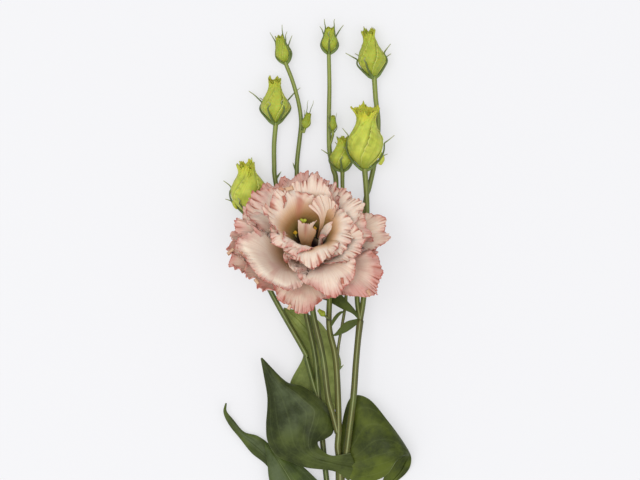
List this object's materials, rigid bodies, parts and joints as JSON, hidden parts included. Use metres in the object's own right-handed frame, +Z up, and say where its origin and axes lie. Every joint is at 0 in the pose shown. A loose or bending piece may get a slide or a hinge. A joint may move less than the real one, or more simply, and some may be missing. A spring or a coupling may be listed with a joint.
{
  "type": "lisianthus flower",
  "caption": "Cut lisianthus lying flat: a ruffled double bloom of nested petals, buds at several stages on branching stems, and broad clasping leaves.",
  "frame": {"origin": "middle of the plant's footprint, on the surface it lies on", "axes": "+Y along the plant from the cut end to the upper buds, +Z up from the surface, +X to the right as seen from above"},
  "size_m": [0.0942, 0.2753, 0.0529],
  "materials": {
    "stem": "satin",
    "leaf": "satin",
    "bud": "satin",
    "petal": "matte",
    "pistil": "satin"
  },
  "bodies": {
    "root": {"stems": "stem", "leaf_left": "leaf", "leaf_right": "leaf", "leaf_low_left": "leaf", "leaf_low_front": "leaf", "leaf_back": "leaf", "bud_1": "bud", "bud_2": "bud", "bud_3": "bud", "bud_4": "bud", "bud_5": "bud", "bud_6": "bud", "bud_7": "bud", "bud_8": "bud", "bud_9": "bud", "bud_10": "bud", "bloom_petals": "petal", "pistil": "pistil"}
  },
  "joints": []
}
